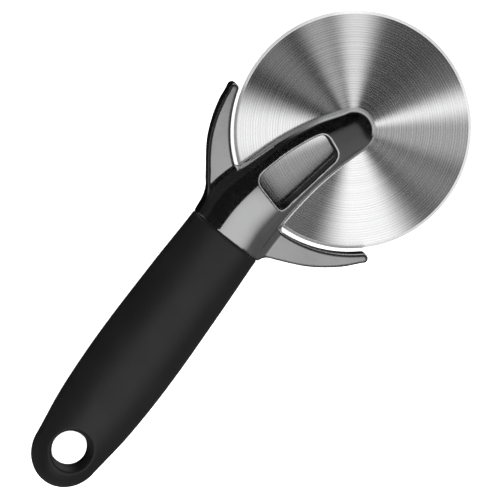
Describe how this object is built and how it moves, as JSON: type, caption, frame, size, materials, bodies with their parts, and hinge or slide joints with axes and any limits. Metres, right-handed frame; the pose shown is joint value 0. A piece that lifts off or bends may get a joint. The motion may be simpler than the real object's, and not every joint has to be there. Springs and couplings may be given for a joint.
{
  "type": "pizza cutter wheel",
  "caption": "Hand pizza cutter: a free-turning steel wheel on a one-sided cast arm with a finger guard, a soft grip and a hanging hole.",
  "frame": {"origin": "middle of the hanging hole, on the tool's middle plane", "axes": "+X from the hanging hole to the wheel's axis, +Z along the wheel's axis towards the side that carries the arm"},
  "size_m": [0.2486, 0.1034, 0.0242],
  "materials": {
    "cast_metal": "polished plating",
    "wheel_steel": "spun satin with a ground edge",
    "soft_grip": "soft matte",
    "core_plastic": "moulded",
    "bush_plastic": "moulded, waxy",
    "pin_steel": "turned"
  },
  "bodies": {
    "handle": {"body_casting": "cast_metal", "grip_sleeve": "soft_grip", "core_front": "core_plastic", "core_back": "core_plastic", "tang_rivets": "pin_steel", "axle_sleeve": "pin_steel", "front_washer": "bush_plastic", "back_washer": "bush_plastic", "axle_screw": "pin_steel"},
    "wheel": {"cutting_wheel": "wheel_steel", "bush_front": "bush_plastic", "bush_back": "bush_plastic"}
  },
  "joints": [
    {"name": "wheel_spin", "type": "hinge", "parent": "handle", "child": "wheel", "pos_m": [0.1802, 0, 0], "axis": [0, 0, 1], "continuous": true}
  ]
}
